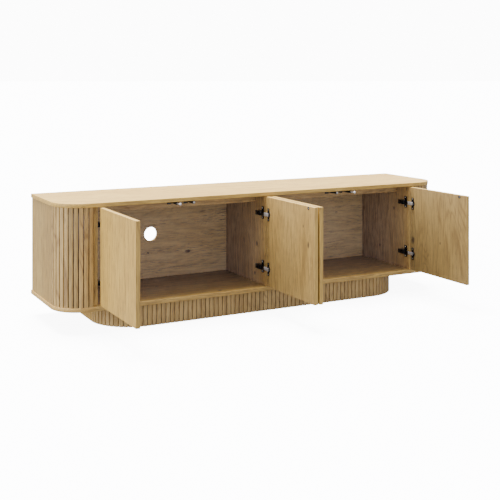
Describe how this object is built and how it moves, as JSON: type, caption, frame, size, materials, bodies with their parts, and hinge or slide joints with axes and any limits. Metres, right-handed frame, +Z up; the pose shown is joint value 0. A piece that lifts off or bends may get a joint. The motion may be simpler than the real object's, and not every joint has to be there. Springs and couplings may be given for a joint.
{
  "type": "media cabinet",
  "caption": "Low wide media cabinet with rounded front corners, slatted corner skins and recessed slatted plinth, hinged doors with push latches, two open compartments with cable holes.",
  "frame": {"origin": "on the floor, at the centre of the top panel's outline", "axes": "+Z up, +X along the front to the right as seen from in front, and the doors face -Y"},
  "size_m": [1.8, 0.806, 0.5],
  "materials": {
    "oak": "satin oak-look board with fine straight grain",
    "slatted_oak": "satin oak-look slats with narrow dark grooves",
    "black_steel": "black plated steel, satin",
    "bright_steel": "bright plated steel",
    "black_plastic": "moulded black plastic",
    "white_plastic": "moulded off-white plastic"
  },
  "bodies": {
    "carcase": {"top_panel": "oak", "bottom_panel": "oak", "side_panel_left": "oak", "side_panel_right": "oak", "partition_left": "oak", "partition_centre": "oak", "partition_right": "oak", "back_board_left": "oak", "back_board_right": "oak", "top_rail_left": "oak", "top_rail_right": "oak", "corner_skin_left": "slatted_oak", "corner_skin_right": "slatted_oak", "plinth_corner_left": "slatted_oak", "plinth_corner_right": "slatted_oak", "plinth_front": "slatted_oak", "plinth_back": "oak", "plinth_cross_member": "oak", "hinge_arm_1_upper": "black_steel", "hinge_arm_1_lower": "black_steel", "hinge_arm_2_upper": "black_steel", "hinge_arm_2_lower": "black_steel", "hinge_arm_3_upper": "black_steel", "hinge_arm_3_lower": "black_steel", "hinge_arm_4_upper": "black_steel", "hinge_arm_4_lower": "black_steel", "push_latch_1": "black_plastic", "push_latch_2": "black_plastic", "push_latch_3": "black_plastic", "push_latch_4": "black_plastic"},
    "door_leaf_1": {"door_1": "oak", "strike_plate_1": "black_steel", "hinge_cup_1_upper": "black_steel", "hinge_cup_1_lower": "black_steel"},
    "door_leaf_2": {"door_2": "oak", "strike_plate_2": "black_steel", "hinge_cup_2_upper": "black_steel", "hinge_cup_2_lower": "black_steel"},
    "door_leaf_3": {"door_3": "oak", "strike_plate_3": "black_steel", "hinge_cup_3_upper": "black_steel", "hinge_cup_3_lower": "black_steel"},
    "door_leaf_4": {"door_4": "oak", "strike_plate_4": "black_steel", "hinge_cup_4_upper": "black_steel", "hinge_cup_4_lower": "black_steel"},
    "links_1": {"hinge_link_1_upper": "bright_steel", "hinge_link_1_lower": "bright_steel"},
    "links_2": {"hinge_link_2_upper": "bright_steel", "hinge_link_2_lower": "bright_steel"},
    "links_3": {"hinge_link_3_upper": "bright_steel", "hinge_link_3_lower": "bright_steel"},
    "links_4": {"hinge_link_4_upper": "bright_steel", "hinge_link_4_lower": "bright_steel"},
    "plunger_1": {"latch_plunger_1": "white_plastic"},
    "plunger_2": {"latch_plunger_2": "white_plastic"},
    "plunger_3": {"latch_plunger_3": "white_plastic"},
    "plunger_4": {"latch_plunger_4": "white_plastic"}
  },
  "joints": [
    {"name": "door_1_hinge", "type": "hinge", "parent": "carcase", "child": "door_leaf_1", "pos_m": [-0.76025, -0.22075, 0.2955], "axis": [0, 0, 1], "range_deg": [0, 90]},
    {"name": "door_2_hinge", "type": "hinge", "parent": "carcase", "child": "door_leaf_2", "pos_m": [0.0044, -0.2132, 0.2955], "axis": [0, 0, -1], "range_deg": [0, 90]},
    {"name": "door_3_hinge", "type": "hinge", "parent": "carcase", "child": "door_leaf_3", "pos_m": [-0.0044, -0.2132, 0.2955], "axis": [0, 0, 1], "range_deg": [0, 90]},
    {"name": "door_4_hinge", "type": "hinge", "parent": "carcase", "child": "door_leaf_4", "pos_m": [0.76025, -0.22075, 0.2955], "axis": [0, 0, -1], "range_deg": [0, 90]},
    {"name": "links_1_pin", "type": "hinge", "parent": "carcase", "child": "links_1", "pos_m": [-0.7235, -0.1785, 0.2955], "axis": [0, 0, 1], "range_deg": [0, 90]},
    {"name": "links_2_pin", "type": "hinge", "parent": "carcase", "child": "links_2", "pos_m": [-0.0248, -0.1785, 0.2955], "axis": [0, 0, -1], "range_deg": [0, 90]},
    {"name": "links_3_pin", "type": "hinge", "parent": "carcase", "child": "links_3", "pos_m": [0.0248, -0.1785, 0.2955], "axis": [0, 0, 1], "range_deg": [0, 90]},
    {"name": "links_4_pin", "type": "hinge", "parent": "carcase", "child": "links_4", "pos_m": [0.7235, -0.1785, 0.2955], "axis": [0, 0, -1], "range_deg": [0, 90]},
    {"name": "plunger_1_slide", "type": "slide", "parent": "carcase", "child": "plunger_1", "axis": [0, 1, 0], "range_m": [0, 0.0281]},
    {"name": "plunger_2_slide", "type": "slide", "parent": "carcase", "child": "plunger_2", "axis": [0, 1, 0], "range_m": [-0.028, 0]},
    {"name": "plunger_3_slide", "type": "slide", "parent": "carcase", "child": "plunger_3", "axis": [0, 1, 0], "range_m": [-0.028, 0]},
    {"name": "plunger_4_slide", "type": "slide", "parent": "carcase", "child": "plunger_4", "axis": [0, 1, 0], "range_m": [0, 0.0281]}
  ],
  "couplings": [
    {"joint": "links_1_pin", "follows": "door_1_hinge", "ratio": 1},
    {"joint": "links_2_pin", "follows": "door_2_hinge", "ratio": 1},
    {"joint": "links_3_pin", "follows": "door_3_hinge", "ratio": 1},
    {"joint": "links_4_pin", "follows": "door_4_hinge", "ratio": 1},
    {"joint": "plunger_1_slide", "follows": "door_1_hinge", "m_per_rad": 0.017825},
    {"joint": "plunger_4_slide", "follows": "door_4_hinge", "m_per_rad": 0.017825}
  ]
}
